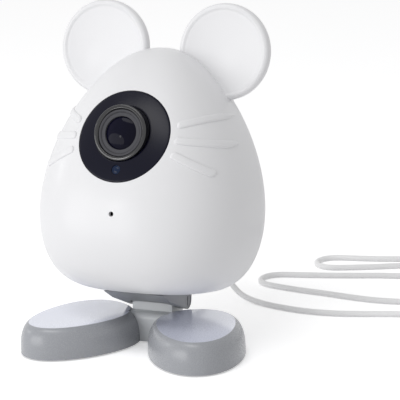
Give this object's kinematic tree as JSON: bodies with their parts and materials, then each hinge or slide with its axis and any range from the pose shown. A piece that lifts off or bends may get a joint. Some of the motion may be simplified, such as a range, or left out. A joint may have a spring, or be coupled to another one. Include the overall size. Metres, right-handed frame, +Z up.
{
  "type": "pet camera",
  "caption": "Mouse-shaped indoor camera for watching a pet, with round ears, whiskers and a round lens window, tilting on a stand with splayed feet, with a free power cord.",
  "frame": {"origin": "on the surface that the feet stand on, at the middle of the camera's box, measured without its cord", "axes": "+Z up, -Y is the side that the lens looks towards, +X is to the right seen from the front"},
  "size_m": [0.2053, 0.2128, 0.1538],
  "materials": {
    "shell_white": "glossy moulded plastic",
    "window_black": "high gloss",
    "trim_grey": "satin",
    "lens_black": "satin",
    "lens_glass": "coated optical glass",
    "sensor_blue": "tinted, high gloss",
    "stand_grey": "satin moulded plastic",
    "hinge_grey": "satin moulded plastic",
    "steel": "zinc-plated",
    "weight": "rough",
    "rubber": "matt",
    "board": "solder mask",
    "component": "matt",
    "shield": "tinned",
    "filter_glass": "coated",
    "cord_white": "satin",
    "pad_dark": "foam"
  },
  "bodies": {
    "stand": {"stand_block": "stand_grey", "foot_left": "stand_grey", "foot_right": "stand_grey", "foot_weight_left": "weight", "foot_weight_right": "weight", "base_plate": "hinge_grey", "foot_screws": "steel", "rubber_pads": "rubber", "cord_run": "cord_white", "cord_coil": "cord_white", "cord_tie": "component", "usb_plug_relief": "cord_white", "usb_plug_body": "cord_white", "usb_plug": "shield"},
    "head": {"front_shell": "shell_white", "rear_shell": "shell_white", "ear_left": "shell_white", "ear_right": "shell_white", "housing_screws": "steel", "lens_bezel": "window_black", "light_sensor_window": "sensor_blue", "lens_trim_ring": "trim_grey", "lens_hood": "trim_grey", "lens_barrel": "lens_black", "front_lens": "lens_glass", "middle_lens": "lens_glass", "rear_lens": "lens_glass", "lens_holder": "lens_black", "camera_board": "board", "image_sensor": "component", "lamp_ring_board": "board", "infrared_lamps": "lens_glass", "light_sensor": "component", "microphone_gasket": "pad_dark", "microphone": "shield", "main_board": "board", "board_screws": "steel", "processor": "component", "memory_chip": "component", "radio_shield": "shield", "reset_switch": "component", "capacitors": "component", "usb_socket": "shield", "card_socket": "shield", "antenna": "board", "speaker": "component", "speaker_cone": "pad_dark", "speaker_gasket": "pad_dark", "stand_bracket": "hinge_grey", "bracket_screws": "steel", "hinge_bolt": "steel", "hinge_nut": "steel", "friction_washers": "component", "micro_plug": "cord_white", "strain_relief": "cord_white"},
    "reset_button": {"reset_button": "trim_grey"},
    "memory_card": {"memory_card": "component"},
    "ir_filter": {"ir_filter_frame": "component", "ir_cut_glass": "filter_glass", "clear_glass": "filter_glass"}
  },
  "joints": [
    {"name": "tilt", "type": "hinge", "parent": "stand", "child": "head", "pos_m": [0, 0.0114, 0.0179], "axis": [1, 0, 0], "range_deg": [-12, 12], "deforming": ["cord_run"]},
    {"name": "reset_button_press", "type": "slide", "parent": "head", "child": "reset_button", "axis": [0, -0.9823, 0.1874], "range_m": [0, 0.0006], "stiffness_N_per_m": 1500, "springref_m": -0.0003},
    {"name": "memory_card_slide", "type": "slide", "parent": "head", "child": "memory_card", "axis": [0, 0.9823, -0.1874], "range_m": [0, 0.018]},
    {"name": "ir_filter_shift", "type": "slide", "parent": "head", "child": "ir_filter", "axis": [-1, 0, 0], "range_m": [0, 0.0072]}
  ]
}
